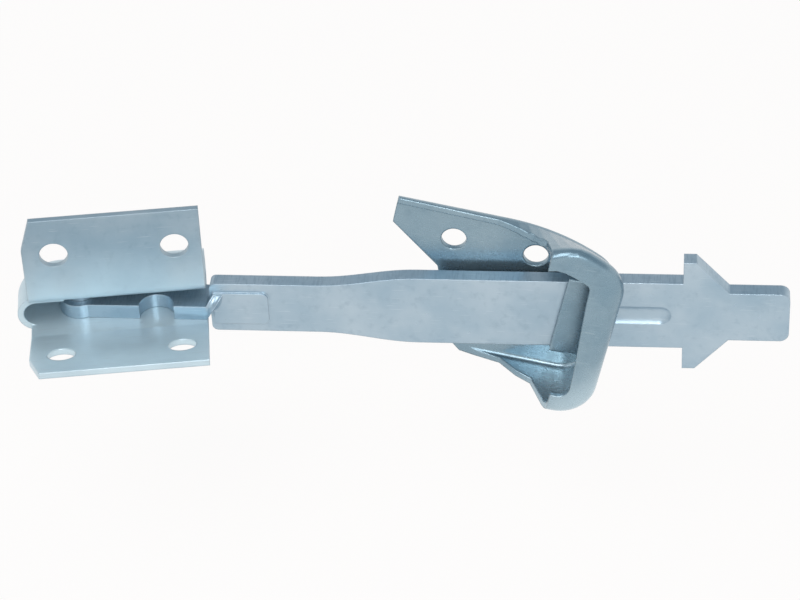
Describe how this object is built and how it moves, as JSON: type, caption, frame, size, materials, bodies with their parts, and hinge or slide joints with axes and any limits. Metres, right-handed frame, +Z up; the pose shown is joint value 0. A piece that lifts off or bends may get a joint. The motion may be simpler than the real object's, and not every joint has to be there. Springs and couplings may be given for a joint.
{
  "type": "door limiter strap",
  "caption": "Flat steel strap that pivots in a folded pillar bracket and slides through a hooded guide bracket, with an arrow head that stops a door at full opening.",
  "frame": {"origin": "midway between the two bolt holes of the upright flange, on its front face", "axes": "+X along the fold of the pillar bracket toward the arrow head, +Y square to the upright flange from its front face to its back, +Z up along the pivot rivet"},
  "size_m": [0.2439, 0.0614, 0.0695],
  "materials": {
    "bracket_zinc": "bright blue-white zinc plate on folded sheet steel",
    "rivet_zinc": "bright zinc plate on a headed rivet",
    "strap_zinc": "bright blue-white zinc plate on blanked steel, with sheared edges",
    "guide_zinc": "bright blue-white zinc plate on drawn sheet steel"
  },
  "bodies": {
    "pillar": {"pillar_bracket": "bracket_zinc", "pivot_rivet": "rivet_zinc"},
    "strap": {"strap": "strap_zinc"},
    "guide": {"guide_bracket": "guide_zinc"}
  },
  "joints": [
    {"name": "strap_swing", "type": "hinge", "parent": "pillar", "child": "strap", "pos_m": [-0.013, 0.01, -0.02585], "axis": [0, 0, 1], "range_deg": [-1.5, 14]},
    {"name": "guide_slide", "type": "slide", "parent": "strap", "child": "guide", "axis": [0.9866, -0.1633, 0], "range_m": [-0.05, 0.017]}
  ]
}
